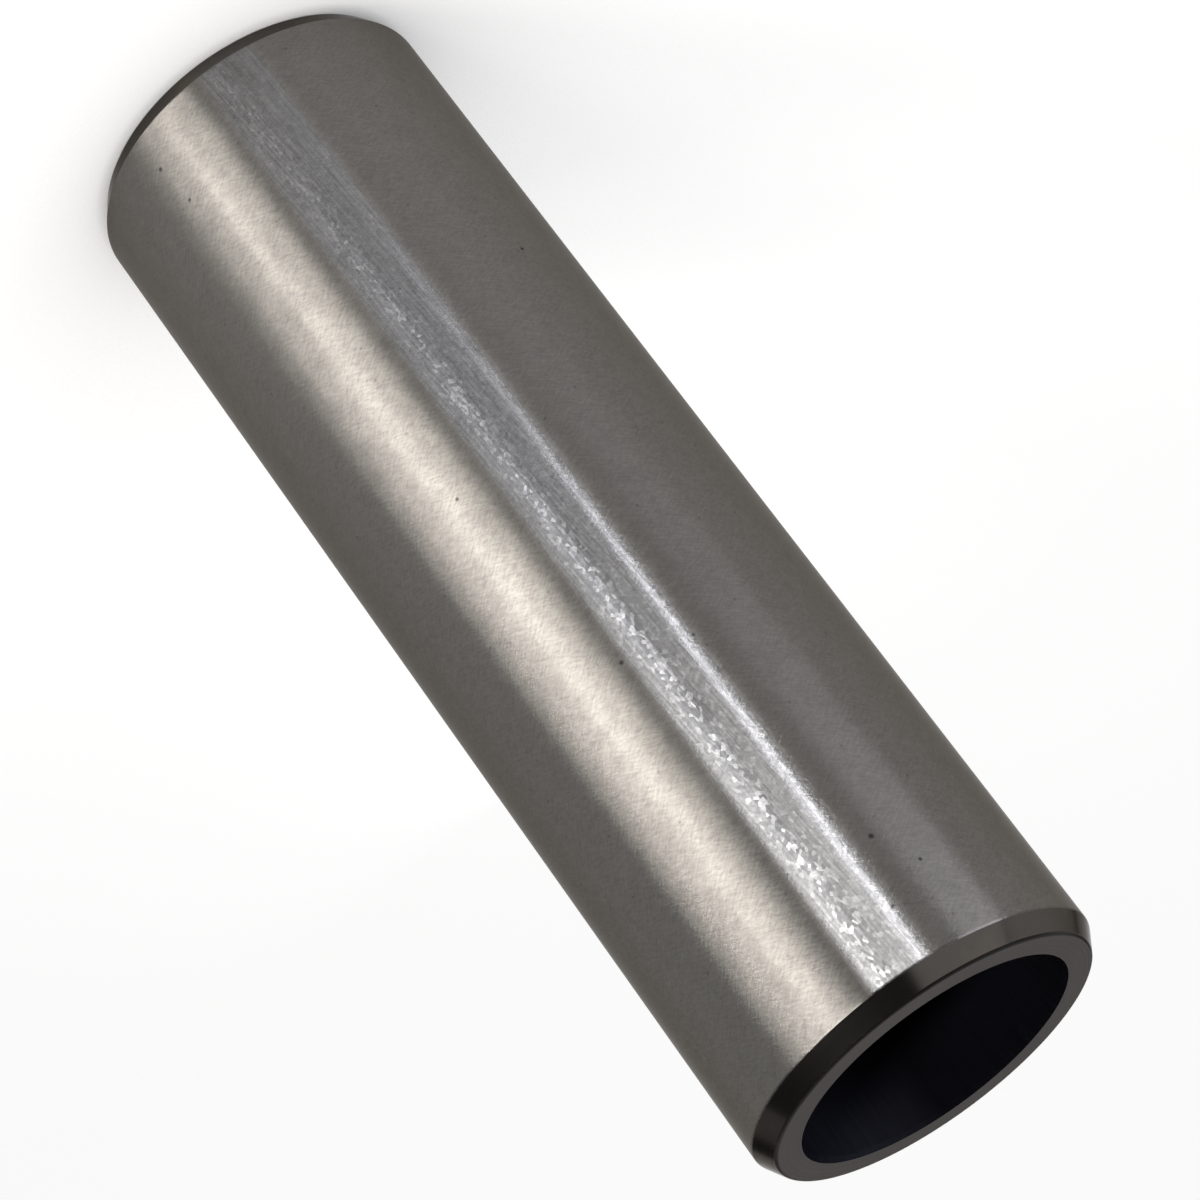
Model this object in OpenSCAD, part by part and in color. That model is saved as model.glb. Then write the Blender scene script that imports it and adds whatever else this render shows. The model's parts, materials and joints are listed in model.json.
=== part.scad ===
// Gudgeon pin: a hollow, case-hardened and ground steel tube that hinges a piston on its connecting rod.
// It stands on one end face, with its axis along +Z and the middle of that face at the origin.

/* [Tube] */
// Outside diameter of the ground bearing surface
pin_od = 22; // [16:0.5:32]
// Length over both end faces
pin_len = 72.5; // [50:0.5:100]
// Thickness of the wall between the bore and the bearing surface
wall = 2.6; // [2:0.1:5]

/* [Ends] */
// Length along the axis of the lead chamfer at each end
chamfer_len = 1.3; // [0.6:0.1:1.6]
// Angle between the lead chamfer and the axis
chamfer_angle = 30; // [15:1:35]
// Radius that blends the chamfer into the bearing surface and into the end face
edge_r = 0.3; // [0.1:0.05:0.4]
// Width of the 45 degree edge break at each mouth of the bore
bore_break = 0.25; // [0.1:0.05:0.4]

/* [Hidden] */

$fn = 128;
pin_r = pin_od / 2;
bore_r = pin_r - wall;
half_len = pin_len / 2;
chamfer_in = chamfer_len * tan(chamfer_angle);

// Where the chamfer would meet the bearing surface and the end face if both edges were sharp
shoulder = [pin_r, half_len - chamfer_len];
rim = [pin_r - chamfer_in, half_len];

// Distance from each sharp edge to the points where its blend begins and ends
shoulder_run = edge_r * tan(chamfer_angle / 2);
rim_run = edge_r * tan((90 - chamfer_angle) / 2);
along_chamfer = [sin(chamfer_angle), -cos(chamfer_angle)];

// The upper half of the wall in section, from the axis out, with a flat across each edge that is blended
module half_section() {
    polygon([
        [bore_r, 0],
        [pin_r, 0],
        shoulder - [0, shoulder_run],
        shoulder - shoulder_run * along_chamfer,
        rim + rim_run * along_chamfer,
        rim - [rim_run, 0],
        [bore_r + bore_break, half_len],
        [bore_r, half_len - bore_break]
    ]);
    // Each blend is the part of a circle that stands proud of its flat
    translate(shoulder - [edge_r, shoulder_run]) circle(r = edge_r);
    translate(rim - [rim_run, edge_r]) circle(r = edge_r);
}

// The wall turned round the axis, the same at both ends
module gudgeon_pin() {
    color([0.62, 0.61, 0.58])
        translate([0, 0, half_len])
            rotate_extrude() {
                half_section();
                mirror([0, 1]) half_section();
            }
}

gudgeon_pin();
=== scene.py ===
"""A gudgeon pin for a piston engine: a hollow ground steel tube, standing on its end in a small studio."""

import json
import math
from typing import NamedTuple

import bpy
from bpy.props import FloatProperty, FloatVectorProperty, IntProperty, PointerProperty
from mathutils import Matrix, Vector


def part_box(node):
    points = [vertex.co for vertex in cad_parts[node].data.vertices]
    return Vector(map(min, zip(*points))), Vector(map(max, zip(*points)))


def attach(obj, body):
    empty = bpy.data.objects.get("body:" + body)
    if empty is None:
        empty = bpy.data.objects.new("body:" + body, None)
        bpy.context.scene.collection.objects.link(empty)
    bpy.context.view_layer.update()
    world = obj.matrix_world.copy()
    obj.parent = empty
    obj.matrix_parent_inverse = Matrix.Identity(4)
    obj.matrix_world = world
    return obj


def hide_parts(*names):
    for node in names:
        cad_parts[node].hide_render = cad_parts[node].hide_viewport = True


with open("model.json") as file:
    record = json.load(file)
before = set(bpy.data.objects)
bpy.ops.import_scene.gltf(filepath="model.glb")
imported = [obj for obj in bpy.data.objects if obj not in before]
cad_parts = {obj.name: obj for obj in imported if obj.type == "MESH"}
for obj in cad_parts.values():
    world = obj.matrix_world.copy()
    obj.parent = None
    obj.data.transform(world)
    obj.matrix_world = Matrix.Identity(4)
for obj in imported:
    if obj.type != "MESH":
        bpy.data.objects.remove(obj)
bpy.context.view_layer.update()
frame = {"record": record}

bl_info = {
    "name": "Gudgeon Pin",
    "version": (1, 0, 0),
    "blender": (4, 5, 0),
    "location": "3D View > Sidebar > Gudgeon Pin",
    "description": "Builds a hollow ground steel gudgeon pin and the studio it is shown in",
    "category": "Add Mesh",
}

NODE = "gudgeon_pin"
BODY = "root"
MM = 0.001
UP = Vector((0, 0, 1))

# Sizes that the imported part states
LOW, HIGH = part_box(NODE)
MOUNTS = {mount["name"]: mount for mount in frame["record"]["mounts"]}
BEARING = MOUNTS["bearing_surface"]["dims"]
BORE = MOUNTS["through_bore"]["dims"]


class PinSizes(bpy.types.PropertyGroup):
    """Sizes of the pin."""

    outer_diameter: FloatProperty(
        name="Outside Diameter",
        description="Diameter of the ground bearing surface",
        default=HIGH.x - LOW.x,
        unit="LENGTH",
        precision=4,
    )
    length: FloatProperty(
        name="Length",
        description="Length over both end faces",
        default=HIGH.z - LOW.z,
        unit="LENGTH",
        precision=4,
    )
    bearing_length: FloatProperty(
        name="Bearing Length",
        description="Length of the ground cylinder between the blends of the two lead chamfers",
        default=BEARING["length_mm"] * MM,
        unit="LENGTH",
        precision=4,
    )
    bore_diameter: FloatProperty(
        name="Bore Diameter",
        description="Diameter of the bore that goes through the pin",
        default=2 * BORE["r_mm"] * MM,
        unit="LENGTH",
        precision=4,
    )
    bore_length: FloatProperty(
        name="Bore Length",
        description="Length of the bore's wall between its two edge breaks",
        default=BORE["length_mm"] * MM,
        unit="LENGTH",
        precision=4,
    )
    chamfer_angle: FloatProperty(
        name="Chamfer Angle",
        description="Angle between the lead chamfer and the axis",
        default=math.radians(30),
        subtype="ANGLE",
    )
    edge_radius: FloatProperty(
        name="Edge Radius",
        description="Radius that blends the chamfer into the bearing surface and the end face",
        default=0.3 * MM,
        unit="LENGTH",
        precision=5,
    )
    segments: IntProperty(
        name="Segments",
        description="Number of faces round the pin",
        default=288,
        min=32,
    )


class PinFinish(bpy.types.PropertyGroup):
    """Colours of the pin's surfaces."""

    ground_colour: FloatVectorProperty(
        name="Ground Steel",
        description="Colour of the ground bearing surface",
        default=(0.150, 0.143, 0.134),
        subtype="COLOR",
        size=3,
    )
    chamfer_colour: FloatVectorProperty(
        name="Chamfer",
        description="Colour of the lead chamfers, darkened by heat treatment",
        default=(0.100, 0.094, 0.090),
        subtype="COLOR",
        size=3,
    )
    face_colour: FloatVectorProperty(
        name="End Face",
        description="Colour of the turned end faces",
        default=(0.039, 0.037, 0.0355),
        subtype="COLOR",
        size=3,
    )
    bore_colour: FloatVectorProperty(
        name="Bore",
        description="Colour of the dark skin inside the bore",
        default=(0.0038, 0.0040, 0.0058),
        subtype="COLOR",
        size=3,
    )


class StudioSettings(bpy.types.PropertyGroup):
    """Camera and floor of the studio."""

    camera_distance: FloatProperty(
        name="Camera Distance",
        description="Distance of the camera from the pin's axis",
        default=0.2225,
        unit="LENGTH",
    )
    camera_height: FloatProperty(
        name="Camera Height",
        description="Height of the camera above the floor",
        default=0.1457,
        unit="LENGTH",
    )
    aim_height: FloatProperty(
        name="Aim Height",
        description="Height of the point that the camera looks at",
        default=0.03866,
        unit="LENGTH",
    )
    aim_side: FloatProperty(
        name="Aim Side",
        description="Distance to the side from the pin's axis to the point that the camera looks at",
        default=-0.00021,
        unit="LENGTH",
    )
    camera_roll: FloatProperty(
        name="Camera Roll",
        description="Turn of the camera about its own line of sight",
        default=math.radians(143.46),
        subtype="ANGLE",
    )
    lens: FloatProperty(
        name="Lens",
        description="Focal length of the camera",
        default=130.2,
        unit="CAMERA",
    )
    floor_size: FloatProperty(
        name="Floor Size",
        description="Width of the floor",
        default=8.0,
        unit="LENGTH",
    )


def towards(azimuth, distance, height):
    """A point round the pin: azimuth in degrees to the right of the camera's side."""
    turn = math.radians(azimuth)
    return Vector((distance * math.sin(turn), -distance * math.cos(turn), height))


# Section of the pin

ARC_STEPS = 6
SURFACES = ("bearing", "chamfer", "face", "bore")


class Step(NamedTuple):
    """One step of the section: its surface, its two ends and the outward direction at each end."""

    surface: str
    start: Vector
    end: Vector
    start_out: Vector
    end_out: Vector


def arc(centre, radius, start, end):
    """Points of an arc from angle start to angle end, both ends included."""
    angles = [start + (end - start) * i / ARC_STEPS for i in range(ARC_STEPS + 1)]
    return [centre + radius * Vector((math.cos(a), math.sin(a))) for a in angles]


def straight(surface, start, end):
    """One straight step of the section, with the same outward direction at both of its ends."""
    run = (end - start).normalized()
    outward = Vector((run.y, -run.x))
    return [Step(surface, start, end, outward, outward)]


def bent(surface, points, centre):
    """The steps of an arc of the section, with outward directions away from its centre."""
    outward = [(point - centre).normalized() for point in points]
    return [Step(surface, *ends) for ends in zip(points, points[1:], outward, outward[1:])]


def half_section(sizes):
    """Steps of the section, from mid height over the upper end to mid height in the bore."""
    outer = sizes.outer_diameter / 2
    bore = sizes.bore_diameter / 2
    top = sizes.length / 2
    angle = sizes.chamfer_angle
    edge = sizes.edge_radius
    edge_break = (sizes.length - sizes.bore_length) / 2
    shoulder_run = edge * math.tan(angle / 2)
    rim_run = edge * math.tan((math.pi / 2 - angle) / 2)
    chamfer_length = (sizes.length - sizes.bearing_length) / 2 - shoulder_run
    rim = outer - chamfer_length * math.tan(angle)
    shoulder_centre = Vector((outer - edge, sizes.bearing_length / 2))
    rim_centre = Vector((rim - rim_run, top - edge))
    shoulder = arc(shoulder_centre, edge, 0.0, angle)
    corner = arc(rim_centre, edge, angle, math.pi / 2)
    mouth = Vector((bore + edge_break, top))
    throat = Vector((bore, top - edge_break))
    return (
        straight("bearing", Vector((outer, 0)), shoulder[0])
        + bent("bearing", shoulder, shoulder_centre)
        + straight("chamfer", shoulder[-1], corner[0])
        + bent("face", corner, rim_centre)
        + straight("face", corner[-1], mouth)
        + straight("bore", mouth, throat)
        + straight("bore", throat, Vector((bore, 0)))
    )


def whole_section(sizes):
    """The closed section, upper half and then its mirror image below."""
    upper = half_section(sizes)
    flip = Vector((1, -1))
    lower = []
    for step in reversed(upper):
        start, end = step.end * flip, step.start * flip
        lower.append(Step(step.surface, start, end, step.end_out * flip, step.start_out * flip))
    return upper + lower


def run_lengths(steps):
    """Length along the section from its start to the start of each step, and to the end of the last one."""
    runs = [0.0]
    for step in steps:
        runs.append(runs[-1] + (step.end - step.start).length)
    return runs


def corners(column, row):
    """Column and row of the four corners of a face, anticlockwise seen from outside."""
    return (column, row), (column + 1, row), (column + 1, row + 1), (column, row + 1)


def turned_mesh(name, sizes):
    """The section turned round the axis, with a surface and a place on the unrolled wall for each face."""
    steps = whole_section(sizes)
    runs = run_lengths(steps)
    middle = sizes.length / 2
    count = sizes.segments
    # The unrolled wall is cut at the back, on the +Y side
    cut = math.pi / 2
    turns = [cut + 2 * math.pi * i / count for i in range(count + 1)]
    ways = [Vector((math.cos(turn), math.sin(turn), 0)) for turn in turns]
    places = []
    for step in steps:
        places += [step.start.x * way + (middle + step.start.y) * UP for way in ways[:-1]]
    faces = []
    uvs = []
    normals = []
    surfaces = []
    for row, step in enumerate(steps):
        for column in range(count):
            face = []
            for i, k in corners(column, row):
                face.append(k % len(steps) * count + i % count)
                uvs.append((i / count, runs[k] / runs[-1]))
                outward = step.start_out if k == row else step.end_out
                normals.append(outward.x * ways[i] + outward.y * UP)
            faces.append(face)
            surfaces.append(SURFACES.index(step.surface))
    data = bpy.data.meshes.new(name)
    data.from_pydata(places, [], faces)
    unrolled = data.uv_layers.new(name="unrolled")
    for loop, uv in zip(unrolled.data, uvs):
        loop.uv = uv
    data.polygons.foreach_set("material_index", surfaces)
    data.normals_split_custom_set(normals)
    return data


# Node materials

# A mix node's colour sockets go by number, because its sockets for other kinds have the same names
MIX_FIRST = 6
MIX_SECOND = 7
MIX_RESULT = 2


class Nodes:
    """A node material, built up a node at a time."""

    def __init__(self, name):
        self.material = bpy.data.materials.new(name)
        self.material.use_nodes = True
        self.tree = self.material.node_tree
        self.tree.nodes.clear()
        self.output = self.node("ShaderNodeOutputMaterial")

    def feed(self, socket, value):
        """Link another node's socket to this socket, or give it a constant."""
        if isinstance(value, bpy.types.NodeSocket):
            self.tree.links.new(value, socket)
        else:
            socket.default_value = value

    def node(self, kind, inputs=None, **settings):
        made = self.tree.nodes.new(kind)
        for key, value in settings.items():
            setattr(made, key, value)
        for key, value in (inputs or {}).items():
            self.feed(made.inputs[key], value)
        return made

    def math(self, operation, *values):
        made = self.node("ShaderNodeMath", dict(enumerate(values)), operation=operation)
        return made.outputs["Value"]

    def product(self, first, *others):
        for other in others:
            first = self.math("MULTIPLY", first, other)
        return first

    def about_one(self, value, amount):
        """A factor that departs from 1 by an amount times a value."""
        return self.math("MULTIPLY_ADD", value, amount, 1.0)

    def remap(self, value, low, high, out_low, out_high):
        made = self.node(
            "ShaderNodeMapRange",
            {"Value": value, "From Min": low, "From Max": high, "To Min": out_low, "To Max": out_high},
        )
        return made.outputs["Result"]

    def between(self, value, edges):
        """A share that comes in between the first two edges and goes out between the last two."""
        start, full, still, end = edges
        rise = self.remap(value, start, full, 0.0, 1.0)
        fall = self.remap(value, still, end, 1.0, 0.0)
        return self.math("MINIMUM", rise, fall)

    def vector(self, operation, *values):
        made = self.node("ShaderNodeVectorMath", dict(enumerate(values)), operation=operation)
        return made.outputs["Vector"]

    def distance(self, first, second):
        made = self.node("ShaderNodeVectorMath", {0: first, 1: second}, operation="DISTANCE")
        return made.outputs["Value"]

    def part(self, vector, axis):
        """The X, Y or Z part of a vector."""
        return self.node("ShaderNodeSeparateXYZ", {"Vector": vector}).outputs[axis]

    def mix(self, share, first, second):
        inputs = {"Factor": share, MIX_FIRST: first, MIX_SECOND: second}
        return self.node("ShaderNodeMix", inputs, data_type="RGBA").outputs[MIX_RESULT]


class Finish(Nodes):
    """A finish of the pin, metal unless it is set otherwise, with the places that its patterns lie by."""

    def __init__(self, name, sizes):
        super().__init__(name)
        self.shader = self.node("ShaderNodeBsdfPrincipled", {"Metallic": 1.0})
        self.feed(self.output.inputs["Surface"], self.shader.outputs["BSDF"])
        coordinates = self.node("ShaderNodeTexCoord").outputs
        self.place = coordinates["Object"]
        self.unrolled = coordinates["UV"]
        # Place on the unrolled wall, in millimetres around the pin and along its section
        around = math.pi * sizes.outer_diameter / MM
        along = run_lengths(whole_section(sizes))[-1] / MM
        self.wall = self.vector("MULTIPLY", self.unrolled, (around, along, 1.0))

    def angle(self):
        """Angle round the pin in degrees, to the right of the camera's side."""
        return self.math("MULTIPLY_ADD", self.part(self.unrolled, "X"), 360.0, -180.0)

    def noise(self, vector, scale, detail, roughness, curl=0.0):
        made = self.node(
            "ShaderNodeTexNoise",
            {
                "Vector": vector,
                "Scale": scale,
                "Detail": detail,
                "Roughness": roughness,
                "Distortion": curl,
            },
        )
        return made.outputs["Fac"]

    def scratches(self, size, turn=0.0, curl=0.0):
        """Fine marks of a size in millimetres on the unrolled wall, turned by an angle in degrees."""
        turned = self.node(
            "ShaderNodeMapping",
            {"Vector": self.wall, "Rotation": (0, 0, math.radians(turn)), "Scale": (*size, 1.0)},
            vector_type="TEXTURE",
        )
        return self.noise(turned.outputs["Vector"], scale=1.0, detail=2.0, roughness=0.6, curl=curl)

    def cells(self, vector, scale):
        """Outputs of a pattern of random cells on the unrolled wall."""
        inputs = {"Vector": vector, "Scale": scale}
        return self.node("ShaderNodeTexVoronoi", inputs, voronoi_dimensions="2D").outputs

    def bump(self, height, depth, strength=1.0):
        inputs = {"Strength": strength, "Distance": depth, "Height": height}
        return self.node("ShaderNodeBump", inputs).outputs["Normal"]

    def set(self, **values):
        for key, value in values.items():
            self.feed(self.shader.inputs[key.replace("_", " ")], value)


def tinted(colour, tint=(1.0, 1.0, 1.0)):
    """A colour with its three parts multiplied by a tint, as a node takes it."""
    return (*(part * share for part, share in zip(colour, tint)), 1.0)


# Finishes

# The values that most of a noise lies between, and those that most of the crossed marks lie between
NOISE_SPAN = (0.3, 0.7)
MARKS_SPAN = (1.0, 1.6)

# Sizes of marks in millimetres, around the pin and along its section
LAPPING_MARK = (0.7, 0.15)
SHORT_MARK = (0.35, 0.11)
RUBBED_LINE = (0.13, 3.0)
CHAMFER_MARK = (9.0, 0.15)
FACE_RING = (40.0, 0.07)
BORE_MARK = (0.4, 6.0)

# Share of the short marks among the crossed ones
SHORT_SHARE = 0.6

# Cloudy patches in a metre
GROUND_CLOUDS = 600.0
CHAMFER_CLOUDS = 350.0
FACE_CLOUDS = 90.0

# Depths of relief, in metres
GRINDING_DEPTH = 7.5e-6
CHAMFER_DEPTH = 1e-6
FACE_DEPTH = 2e-6
BORE_DEPTH = 1.5e-6

# Roughness of the smoothest and of the roughest places, or all over
GROUND_ROUGH = (0.28, 0.30)
CHAMFER_ROUGH = (0.15, 0.18)
FACE_ROUGH = (0.28, 0.36)
BORE_ROUGH = 0.6

# Tints of what the metal reflects at a low angle
GROUND_GLANCE = (0.50, 0.48, 0.455, 1.0)
CHAMFER_GLANCE = (0.44, 0.43, 0.415, 1.0)
FACE_GLANCE = (0.90, 0.87, 0.86, 1.0)

# Cloud values between which the chamfer goes from dark to straw, and the face from darker to lighter
STRAW_SPAN = (0.5, 0.75)
FACE_SPAN = (0.35, 0.7)

# Tints that turn a surface's colour into that of its other parts
# A painted cool reflection, for the band
COOLER = (0.965, 0.995, 1.05)
STRAW = (1.35, 1.25, 1.1)
FACE_DARKER = (0.85, 0.85, 0.85)
FACE_LIGHTER = (1.15, 1.15, 1.15)
# A lighter tint for the pool of light that is painted in the bore
PAINTED_LIGHT_TINT = (4.2, 4.2, 4.2)

# Zones round the pin, in degrees to the right of the camera's side: a zone comes in between its first two
# angles and goes out between its last two
# The band is smoother, with less relief, and carries a painted cool reflection and painted glints
RUBBED_BAND_WITH_PAINTED_REFLECTION = (-16.86, -15.87, 2.2, 3.76)
# Painted shade between the two highlights, beside the band
PAINTED_SHADE_ZONE = (2.83, 4.39, 6.47, 10.64)
LAPPED_SIDE = (2.3, 7.51, 27.31, 36.68)
# Side of the bore where a pool of light is painted
PAINTED_LIGHT_SIDE = (70.0, 122.1, 137.7, 171.6)

# Shares by which fibres and patches are lighter or darker, on the plain wall and on the lapped side
FIBRE_SHADE = (0.13, 0.21)
PATCH_SHADE = (0.05, 0.08)

# Share by which the painted shade zone is darker, and shades of the streaks in the bore
PAINTED_SHADE_SHARE = 0.22
BORE_STREAKS = (0.85, 1.15)

# The rubbed band: the relief that it has lost, how much smoother it is, and the shade of its lines
RUBBED_FLAT = 0.5
RUBBED_SMOOTH = 0.045
LINE_SHADE = 0.2

# The line in the rubbed band that most of the flecks lie along, on the streak highlight, and how far from
# it they begin and cease to thin out, in degrees, with the share left there; bright flecks are painted
# glints
FLECK_LINE = -3.42
FLECK_REACH = (1.04, 4.69)
FLECK_FAR = 0.3

# The height in metres from which the flecks are at their strongest, and the share of them at the pin's
# foot:
# the painted glints fade toward the foot, as the streak highlight does
FLECK_HEIGHT = 0.07
FLECK_FOOT = 0.25

# Grains in a millimetre around and along the pin, how far they tilt, and the shades of the flecks that they
# make: the higher the power, the fewer are bright, and the bright ones are painted glints
GRAINS = (6.0, 3.4, 1.0)
GRAIN_TILT = 0.03
FLECK_POWER = 3.0
FLECK_SHADE = (-0.3, 0.9)

# Specks in a millimetre, the edge of a speck in distances between specks, and the colour left in it
SPECKS = 0.2
SPECK_EDGE = (0.008, 0.024)
SPECK_SHADE = 0.7

# Edge of a pit in radii, the colour left in it, and a distance in radii that is clear of every pit
PIT_EDGE = (0.5, 1.2)
PIT_SHADE = 0.3
PIT_CLEAR = 2.0

# Small dark pits in the ground surface: degrees to the right of the camera's side, height and radius in mm
PITS = (
    (29.7, 3.9, 0.17),
    (27.7, 6.9, 0.13),
    (14.9, 33.6, 0.13),
    (-51.4, 21.1, 0.14),
    (4.6, 47.7, 0.14),
    (-15.4, 67.9, 0.14),
    (-30.5, 66.3, 0.13),
    (-16.5, 48.7, 0.11),
    (-22.7, 63.9, 0.17),
)


def crossed_marks(steel):
    """The marks of grinding and lapping, which lean both ways and cross."""
    left = steel.scratches(LAPPING_MARK, turn=35, curl=0.5)
    right = steel.scratches(LAPPING_MARK, turn=-28, curl=0.5)
    short = steel.scratches(SHORT_MARK, turn=5, curl=1.0)
    return steel.math("MULTIPLY_ADD", short, SHORT_SHARE, steel.math("ADD", left, right))


def mottled(steel, angle, marks, clouds):
    """Light and dark of the marks and of cloudy patches, stronger on the lapped side."""
    lapped = steel.between(angle, LAPPED_SIDE)
    fibres = steel.remap(marks, *MARKS_SPAN, -1.0, 1.0)
    patches = steel.remap(clouds, *NOISE_SPAN, -1.0, 1.0)
    return steel.product(
        steel.about_one(fibres, steel.remap(lapped, 0.0, 1.0, *FIBRE_SHADE)),
        steel.about_one(patches, steel.remap(lapped, 0.0, 1.0, *PATCH_SHADE)),
    )


def pitted(steel, sizes):
    """Dark in the pits, and in small specks that are strewn over the wall."""
    # Distance from the middle of the nearest pit, in radii of that pit
    nearest = PIT_CLEAR
    for azimuth, height, radius in PITS:
        centre = towards(azimuth, sizes.outer_diameter / 2, height * MM)
        away = steel.math("DIVIDE", steel.distance(steel.place, centre), radius * MM)
        nearest = steel.math("MINIMUM", nearest, away)
    specks = steel.cells(steel.wall, SPECKS)["Distance"]
    return steel.product(
        steel.remap(nearest, *PIT_EDGE, PIT_SHADE, 1.0),
        steel.remap(specks, *SPECK_EDGE, SPECK_SHADE, 1.0),
    )


def fleck_share(steel, angle, band):
    """How strong the rubbed band's flecks are, painted glints on grain: most along one line, and less
    toward the lower end.
    """
    from_line = steel.math("ABSOLUTE", steel.math("SUBTRACT", angle, FLECK_LINE))
    near_line = steel.remap(from_line, *FLECK_REACH, 1.0, FLECK_FAR)
    by_height = steel.remap(steel.part(steel.place, "Z"), 0.0, FLECK_HEIGHT, FLECK_FOOT, 1.0)
    return steel.product(near_line, by_height, band)


def rubbed_and_painted_glints(steel, band, flecked, grains):
    """Light and dark of the rubbed band: long lines along the pin, and flecks whose bright ones are painted
    glints.
    """
    lines = steel.remap(steel.scratches(RUBBED_LINE, turn=4), *NOISE_SPAN, -LINE_SHADE, LINE_SHADE)
    bright = steel.math("POWER", steel.part(grains, "X"), FLECK_POWER)
    flecks = steel.remap(bright, 0.0, 1.0, *FLECK_SHADE)
    wear = steel.math("MULTIPLY_ADD", flecks, flecked, steel.product(lines, band))
    return steel.math("ADD", wear, 1.0)


def ground_relief(steel, band, flecked, marks, grains):
    """Relief of the marks, weaker in the rubbed band, where the grains tilt this way and that."""
    relief = steel.bump(marks, GRINDING_DEPTH, strength=steel.about_one(band, -RUBBED_FLAT))
    lean = steel.vector("SUBTRACT", grains, (0.5, 0.5, 0.5))
    tilt = steel.vector("MULTIPLY", lean, steel.product(flecked, GRAIN_TILT))
    return steel.vector("NORMALIZE", steel.vector("ADD", relief, tilt))


def ground_steel(finish, sizes):
    """Ground and lapped steel that stretches highlights along the pin, rubbed on the camera's side, with
    painted cool reflection, glints and shade.
    """
    steel = Finish("ground_steel", sizes)
    angle = steel.angle()
    band = steel.between(angle, RUBBED_BAND_WITH_PAINTED_REFLECTION)
    flecked = fleck_share(steel, angle, band)
    grains = steel.cells(steel.vector("MULTIPLY", steel.wall, GRAINS), scale=1.0)["Color"]
    marks = crossed_marks(steel)
    clouds = steel.noise(steel.place, GROUND_CLOUDS, detail=3.0, roughness=0.6)
    shade = steel.product(
        mottled(steel, angle, marks, clouds),
        # Painted shade beside the band, between the two highlights
        steel.about_one(steel.between(angle, PAINTED_SHADE_ZONE), -PAINTED_SHADE_SHARE),
        pitted(steel, sizes),
        # Lines of the band, and flecks whose bright ones are painted glints
        rubbed_and_painted_glints(steel, band, flecked, grains),
    )
    grey = tinted(finish.ground_colour)
    # The band's cooler colour is a painted cool reflection
    cool = tinted(finish.ground_colour, COOLER)
    rough = steel.remap(clouds, *NOISE_SPAN, *GROUND_ROUGH)
    steel.set(
        Base_Color=steel.vector("MULTIPLY", steel.mix(band, grey, cool), shade),
        Roughness=steel.math("MULTIPLY_ADD", band, -RUBBED_SMOOTH, rough),
        Normal=ground_relief(steel, band, flecked, marks, grains),
        Specular_Tint=GROUND_GLANCE,
        Anisotropic=1.0,
        Anisotropic_Rotation=0.25,
        Tangent=steel.node("ShaderNodeTangent", direction_type="RADIAL", axis="Z").outputs["Tangent"],
    )
    return steel.material


def heat_dark_chamfer(finish, sizes):
    """Turned steel left dark by heat treatment, with straw-coloured traces."""
    skin = Finish("heat_dark_chamfer", sizes)
    turning = skin.scratches(CHAMFER_MARK)
    clouds = skin.noise(skin.place, CHAMFER_CLOUDS, detail=3.0, roughness=0.6)
    traces = skin.remap(clouds, *STRAW_SPAN, 0.0, 1.0)
    dark = tinted(finish.chamfer_colour)
    straw = tinted(finish.chamfer_colour, STRAW)
    skin.set(
        Base_Color=skin.mix(traces, dark, straw),
        Roughness=skin.remap(turning, *NOISE_SPAN, *CHAMFER_ROUGH),
        Normal=skin.bump(turning, CHAMFER_DEPTH),
        Specular_Tint=CHAMFER_GLANCE,
    )
    return skin.material


def turned_face(finish, sizes):
    """A faced end: rings left by the tool, round the axis."""
    turned = Finish("turned_face", sizes)
    rings = turned.scratches(FACE_RING)
    clouds = turned.noise(turned.place, FACE_CLOUDS, detail=4.0, roughness=0.6)
    patches = turned.remap(clouds, *FACE_SPAN, 0.0, 1.0)
    darker = tinted(finish.face_colour, FACE_DARKER)
    lighter = tinted(finish.face_colour, FACE_LIGHTER)
    turned.set(
        Base_Color=turned.mix(patches, darker, lighter),
        Roughness=turned.remap(rings, *NOISE_SPAN, *FACE_ROUGH),
        Normal=turned.bump(rings, FACE_DEPTH),
        Specular_Tint=FACE_GLANCE,
    )
    return turned.material


def dark_bore(finish, sizes):
    """The bore's wall, dark from heat treatment and never ground, with a pool of light painted along one
    side.
    """
    bore = Finish("dark_bore", sizes)
    drawn = bore.scratches(BORE_MARK)
    # A pool of light painted along one side of the bore, where light falls in
    painted_lit = bore.between(bore.angle(), PAINTED_LIGHT_SIDE)
    dark = tinted(finish.bore_colour)
    painted_light = tinted(finish.bore_colour, PAINTED_LIGHT_TINT)
    streaks = bore.remap(drawn, *NOISE_SPAN, *BORE_STREAKS)
    bore.set(
        Base_Color=bore.vector("MULTIPLY", bore.mix(painted_lit, dark, painted_light), streaks),
        Metallic=0.0,
        Specular_IOR_Level=0.0,
        Roughness=BORE_ROUGH,
        Normal=bore.bump(drawn, BORE_DEPTH),
    )
    return bore.material


# Studio

# The floor's matt grey, the light it shows of itself, how far in metres a shadow reaches on it, and the
# samples that the shadow takes
FLOOR_GREY = 0.15
FLOOR_GLOW = 0.9
SHADOW_REACH = 0.15
SHADOW_SAMPLES = 4

# Strength of the light from all round, and the width in millimetres that the camera's lens is stated for
AIR_LIGHT = 0.06
SENSOR_WIDTH = 36.0

# Colours of the lamps
WARM = (1.0, 0.955, 0.91)
IVORY = (1.0, 0.97, 0.92)
WHITE = (1.0, 1.0, 1.0)
COOL = (0.92, 0.93, 1.0)
PALE_BLUE = (0.86, 0.88, 1.0)
BLUE = (0.45, 0.55, 1.0)


class Lamp(NamedTuple):
    """A flat lamp beside the pin, turned to a point at the height aim on the pin's axis."""

    name: str
    azimuth: float
    distance: float
    height: float
    aim: float
    width: float
    tall: float
    radiance: float
    colour: tuple
    spread: float = 180


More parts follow.
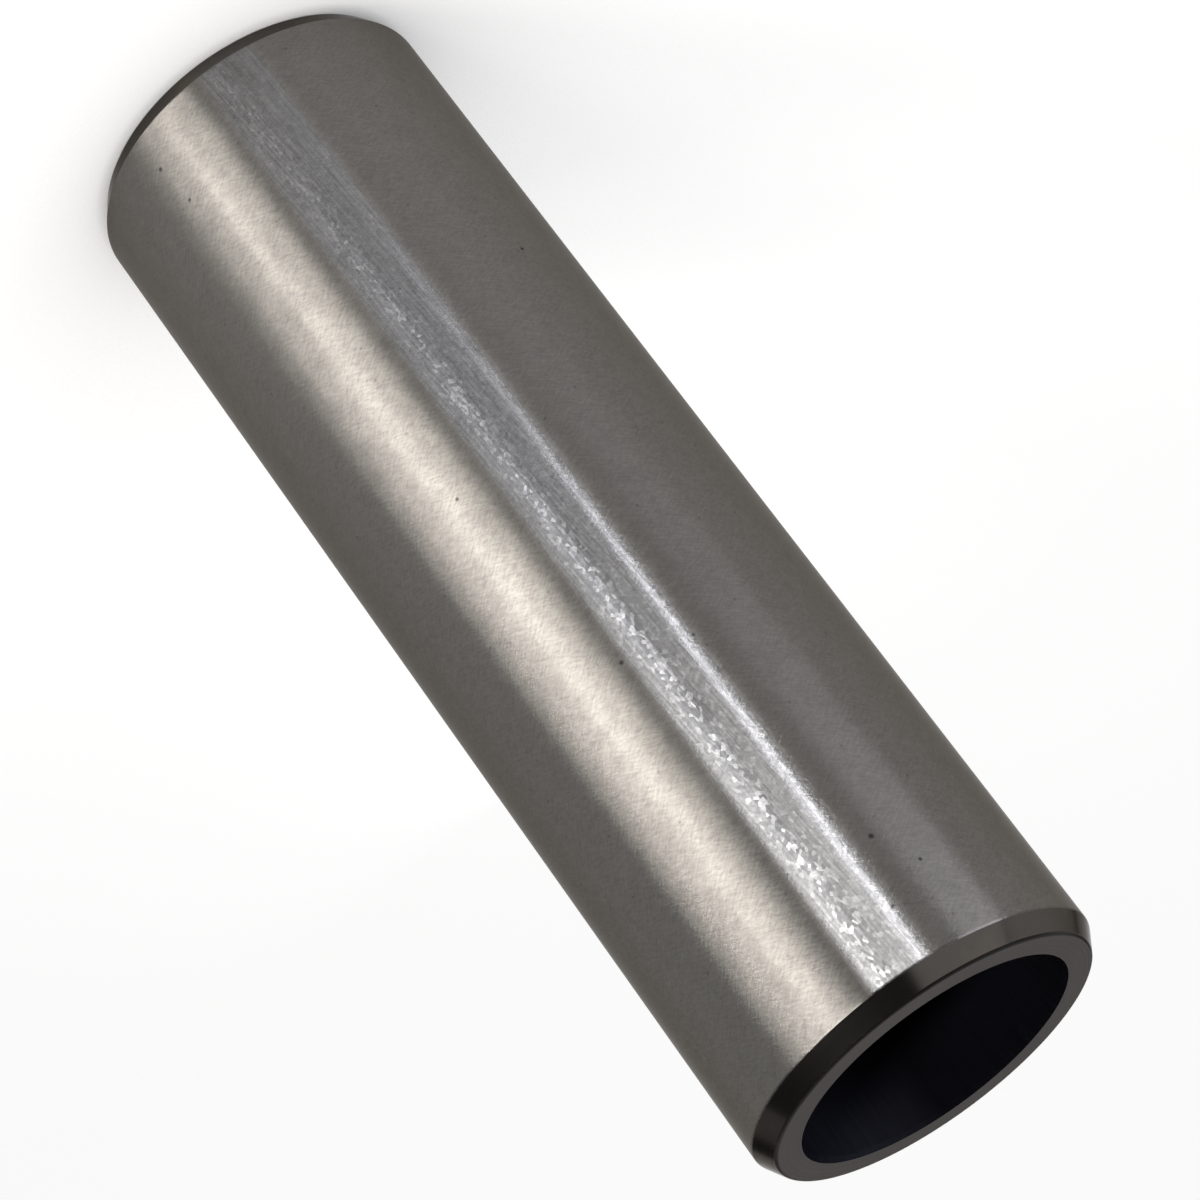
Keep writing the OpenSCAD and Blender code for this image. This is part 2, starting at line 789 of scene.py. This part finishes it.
# Angles are in degrees and lengths in metres, in the order that Lamp gives; left and right in the names are
# as the rolled camera sees them
LAMPS = (
    Lamp("warm_softbox", 31.4, 0.07, 0.044, 0.044, 0.0204, 0.082, 3.08, WARM),
    Lamp("warm_shoulder", 45.3, 0.07, 0.044, 0.044, 0.014, 0.082, 2.8, WARM),
    Lamp("warm_edge", 56.7, 0.07, 0.044, 0.044, 0.014, 0.082, 1.95, WARM),
    Lamp("warm_foot_right", 20.5, 0.30, 0.12, 0.0, 0.085, 0.10, 1.15, WARM, 20),
    Lamp("warm_foot", 36, 0.30, 0.12, 0.0, 0.085, 0.10, 1.75, WARM, 20),
    Lamp("warm_foot_left", 51, 0.30, 0.12, 0.0, 0.085, 0.10, 0.72, WARM, 20),
    Lamp("cool_softbox", -12.3, 0.09, 0.052, 0.052, 0.056, 0.024, 8.5, WHITE),
    Lamp("cool_foot", -12.5, 0.045, 0.013, 0.013, 0.026, 0.024, 0.22, BLUE),
    Lamp("edge_strip", -25.9, 0.07, 0.036, 0.036, 0.003, 0.046, 11.8, COOL),
    Lamp("streak_strip", -5.3, 0.07, 0.0245, 0.0245, 0.0075, 0.029, 3.9, COOL),
    Lamp("streak_left", 0.4, 0.07, 0.043, 0.043, 0.0078, 0.040, 3.3, WHITE),
    Lamp("side_fill", -62.5, 0.09, 0.085, 0.085, 0.045, 0.024, 6.7, PALE_BLUE),
    Lamp("right_softbox", -105, 0.40, 0.18, 0.18, 0.60, 0.20, 0.65, IVORY),
    Lamp("right_top_softbox", -53.5, 0.35, 0.30, 0.0725, 0.41, 0.20, 0.74, IVORY),
    Lamp("left_softbox", 125, 0.40, 0.20, 0.0725, 0.30, 0.16, 0.22, WARM),
    Lamp("back_softbox", 180, 0.40, 0.22, 0.22, 0.25, 0.16, 0.5, WHITE),
    Lamp("back_strip", 180, 0.10, 0.034, 0.034, 0.030, 0.062, 2.2, WHITE),
    Lamp("ceiling_softbox", 180, 0.25, 0.45, 0.0725, 0.90, 0.60, 0.45, WHITE),
)


def make_lamp(lamp):
    """A lamp of even radiance over its whole face, which the camera doesn't see."""
    light = bpy.data.lights.new(lamp.name, "AREA")
    light.shape = "RECTANGLE"
    light.size = lamp.width
    light.size_y = lamp.tall
    light.spread = math.radians(lamp.spread)
    light.energy = lamp.radiance * math.pi * lamp.width * lamp.tall
    light.color = lamp.colour
    made = bpy.data.objects.new(lamp.name, light)
    made.location = towards(lamp.azimuth, lamp.distance, lamp.height)
    made.rotation_mode = "QUATERNION"
    made.rotation_quaternion = (Vector((0, 0, lamp.aim)) - made.location).to_track_quat("-Z", "Y")
    made.visible_camera = False
    bpy.context.collection.objects.link(made)


def pale_floor():
    """A pale floor that shows white to the camera and in the metal, and still takes shadows."""
    floor = Nodes("pale_floor")
    matt = floor.node("ShaderNodeBsdfDiffuse", {"Color": (FLOOR_GREY, FLOOR_GREY, FLOOR_GREY, 1.0)})
    path = floor.node("ShaderNodeLightPath").outputs
    seen = floor.math("MAXIMUM", path["Is Camera Ray"], path["Is Glossy Ray"])
    seen = floor.math("MAXIMUM", seen, path["Is Transmission Ray"])
    open_air = floor.node(
        "ShaderNodeAmbientOcclusion",
        {"Distance": SHADOW_REACH},
        samples=SHADOW_SAMPLES,
    )
    level = floor.product(open_air.outputs["AO"], FLOOR_GLOW, seen)
    glow = floor.node("ShaderNodeEmission", {"Strength": level})
    both = floor.node("ShaderNodeAddShader", {0: matt.outputs["BSDF"], 1: glow.outputs["Emission"]})
    floor.feed(floor.output.inputs["Surface"], both.outputs["Shader"])
    return floor.material


def make_floor(studio):
    """A square floor under the pin."""
    half = studio.floor_size / 2
    square = [(-half, -half, 0), (half, -half, 0), (half, half, 0), (-half, half, 0)]
    data = bpy.data.meshes.new("floor")
    data.from_pydata(square, [], [(0, 1, 2, 3)])
    data.materials.append(pale_floor())
    floor = bpy.data.objects.new("floor", data)
    bpy.context.collection.objects.link(floor)


def make_world():
    """A little white light from all round."""
    world = bpy.data.worlds.new("studio_air")
    world.use_nodes = True
    air = world.node_tree.nodes["Background"]
    air.inputs["Color"].default_value = (1.0, 1.0, 1.0, 1.0)
    air.inputs["Strength"].default_value = AIR_LIGHT
    bpy.context.scene.world = world


def make_camera(studio):
    """A camera on the -Y side that looks down on the pin, turned as the photograph is."""
    data = bpy.data.cameras.new("camera")
    data.lens = studio.lens
    data.sensor_width = SENSOR_WIDTH
    camera = bpy.data.objects.new("camera", data)
    place = Vector((0.0, -studio.camera_distance, studio.camera_height))
    forward = (Vector((studio.aim_side, 0.0, studio.aim_height)) - place).normalized()
    level = forward.cross(UP).normalized()
    upright = level.cross(forward)
    roll = studio.camera_roll
    right = math.cos(roll) * level + math.sin(roll) * upright
    up = math.cos(roll) * upright - math.sin(roll) * level
    turn = Matrix((right, up, -forward)).transposed().to_4x4()
    camera.matrix_world = Matrix.Translation(place) @ turn
    bpy.context.collection.objects.link(camera)
    bpy.context.scene.camera = camera


# Add-on


class GUDGEON_OT_build_pin(bpy.types.Operator):
    """Build the pin as one turned piece with its four finishes"""

    bl_idname = "gudgeon.build_pin"
    bl_label = "Build Pin"

    def execute(self, context):
        sizes = context.scene.pin_sizes
        finish = context.scene.pin_finish
        data = turned_mesh("pin", sizes)
        # In the order of SURFACES
        for made in (ground_steel, heat_dark_chamfer, turned_face, dark_bore):
            data.materials.append(made(finish, sizes))
        pin = bpy.data.objects.new("pin", data)
        context.collection.objects.link(pin)
        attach(pin, BODY)
        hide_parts(NODE)
        return {"FINISHED"}


class GUDGEON_OT_set_stage(bpy.types.Operator):
    """Set the floor, the lamps and the camera round the pin"""

    bl_idname = "gudgeon.set_stage"
    bl_label = "Set Stage"

    def execute(self, context):
        studio = context.scene.pin_studio
        context.scene.view_settings.view_transform = "Standard"
        make_floor(studio)
        make_world()
        for lamp in LAMPS:
            make_lamp(lamp)
        make_camera(studio)
        return {"FINISHED"}


class GUDGEON_PT_panel(bpy.types.Panel):
    """The pin's sizes, finishes and studio"""

    bl_label = "Gudgeon Pin"
    bl_idname = "GUDGEON_PT_panel"
    bl_space_type = "VIEW_3D"
    bl_region_type = "UI"
    bl_category = "Gudgeon Pin"

    def draw(self, context):
        layout = self.layout
        scene = context.scene
        for group in (scene.pin_sizes, scene.pin_finish):
            for name in group.__annotations__:
                layout.prop(group, name)
        layout.operator(GUDGEON_OT_build_pin.bl_idname)
        for name in scene.pin_studio.__annotations__:
            layout.prop(scene.pin_studio, name)
        layout.operator(GUDGEON_OT_set_stage.bl_idname)


CLASSES = (
    PinSizes,
    PinFinish,
    StudioSettings,
    GUDGEON_OT_build_pin,
    GUDGEON_OT_set_stage,
    GUDGEON_PT_panel,
)


def register():
    for cls in CLASSES:
        bpy.utils.register_class(cls)
    bpy.types.Scene.pin_sizes = PointerProperty(type=PinSizes)
    bpy.types.Scene.pin_finish = PointerProperty(type=PinFinish)
    bpy.types.Scene.pin_studio = PointerProperty(type=StudioSettings)


def unregister():
    del bpy.types.Scene.pin_studio
    del bpy.types.Scene.pin_finish
    del bpy.types.Scene.pin_sizes
    for cls in reversed(CLASSES):
        bpy.utils.unregister_class(cls)


def main():
    register()
    bpy.ops.gudgeon.build_pin()
    bpy.ops.gudgeon.set_stage()


if __name__ == "__main__":
    main()
